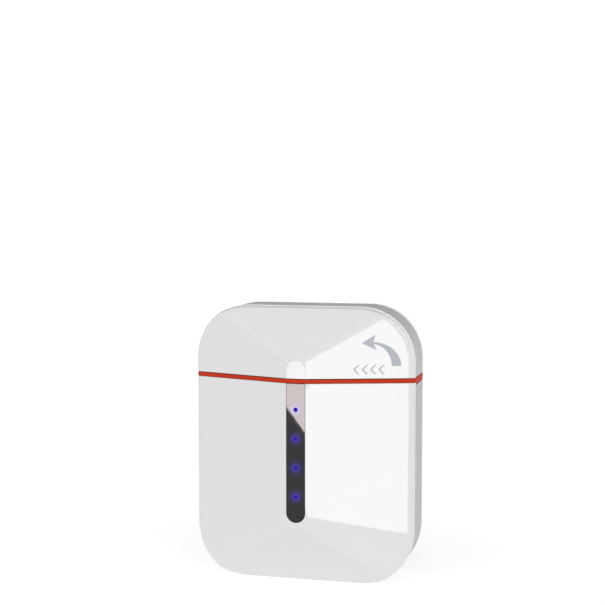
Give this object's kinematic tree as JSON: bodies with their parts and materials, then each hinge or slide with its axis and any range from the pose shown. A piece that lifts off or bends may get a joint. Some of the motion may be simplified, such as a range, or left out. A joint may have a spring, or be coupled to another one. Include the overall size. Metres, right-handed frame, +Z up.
{
  "type": "wireless earbuds case",
  "caption": "Pocket charging case for stem earbuds: faceted white covers on a grey frame, red seam ring, dark light window, and a lid that swings up on a side hinge.",
  "frame": {"origin": "under the middle of the whole object, hinge included, on the surface it stands on", "axes": "+Z up, front face with the light window towards -Y, hinge on the -X side"},
  "size_m": [0.0448, 0.0232, 0.0543],
  "materials": {
    "cover_white": "high gloss moulded",
    "frame_grey": "satin moulded",
    "trim_red": "satin moulded",
    "inner_white": "semi-gloss moulded",
    "inlay_pearl": "gloss moulded",
    "window_smoke": "polished smoked plastic",
    "light_blue": "clear light pipe lit blue",
    "light_package": "moulded",
    "circuit_green": "solder mask",
    "moulded_black": "satin moulded",
    "steel": "fine brushed",
    "magnet_plating": "nickel plated",
    "contact_gold": "gold plated",
    "battery_foil": "laminated foil",
    "foam_black": "foam"
  },
  "bodies": {
    "body": {"body_front_cover": "cover_white", "body_back_cover": "cover_white", "body_frame": "frame_grey", "red_trim_ring": "trim_red", "earbud_tray": "inner_white", "charge_window": "window_smoke", "light_baffle": "moulded_black", "light_board": "circuit_green", "light_pipe_1": "light_blue", "light_pipe_2": "light_blue", "light_pipe_3": "light_blue", "light_pipe_4": "light_blue", "level_light_1": "light_package", "level_light_2": "light_package", "level_light_3": "light_package", "level_light_4": "light_package", "lid_sensor": "moulded_black", "board_link": "moulded_black", "main_board": "circuit_green", "charge_chip": "moulded_black", "power_coil": "moulded_black", "board_screw_left": "steel", "board_screw_right": "steel", "charging_port_shell": "steel", "charging_port_tongue": "moulded_black", "battery": "battery_foil", "battery_pad": "foam_black", "contact_board": "circuit_green", "contact_pin_left_outer": "contact_gold", "contact_pin_left_inner": "contact_gold", "contact_pin_right_outer": "contact_gold", "contact_pin_right_inner": "contact_gold", "earbud_magnet_left": "magnet_plating", "earbud_magnet_right": "magnet_plating", "body_latch_magnet_left": "magnet_plating", "body_latch_magnet_right": "magnet_plating", "hinge_body_leaf": "steel", "hinge_pin": "steel", "hinge_body_screw_front": "steel", "hinge_body_screw_rear": "steel"},
    "lid": {"lid_front_cover": "cover_white", "lid_back_cover": "cover_white", "lid_frame": "frame_grey", "lid_liner": "inner_white", "lid_ridge_inlay": "inlay_pearl", "lid_latch_magnet_left": "magnet_plating", "lid_latch_magnet_right": "magnet_plating", "hinge_lid_leaf": "steel", "hinge_lid_screw_front": "steel", "hinge_lid_screw_rear": "steel"},
    "plunger_left_outer": {"contact_plunger_left_outer": "contact_gold"},
    "plunger_left_inner": {"contact_plunger_left_inner": "contact_gold"},
    "plunger_right_outer": {"contact_plunger_right_outer": "contact_gold"},
    "plunger_right_inner": {"contact_plunger_right_inner": "contact_gold"}
  },
  "joints": [
    {"name": "lid_hinge", "type": "hinge", "parent": "body", "child": "lid", "pos_m": [-0.0216, 0, 0.04074], "axis": [0, -1, 0], "range_deg": [0, 100]},
    {"name": "contact_press_left_outer", "type": "slide", "parent": "body", "child": "plunger_left_outer", "axis": [0, 0, -1], "range_m": [0, 0.0006], "stiffness_N_per_m": 300},
    {"name": "contact_press_left_inner", "type": "slide", "parent": "body", "child": "plunger_left_inner", "axis": [0, 0, -1], "range_m": [0, 0.0006], "stiffness_N_per_m": 300},
    {"name": "contact_press_right_outer", "type": "slide", "parent": "body", "child": "plunger_right_outer", "axis": [0, 0, -1], "range_m": [0, 0.0006], "stiffness_N_per_m": 300},
    {"name": "contact_press_right_inner", "type": "slide", "parent": "body", "child": "plunger_right_inner", "axis": [0, 0, -1], "range_m": [0, 0.0006], "stiffness_N_per_m": 300}
  ]
}
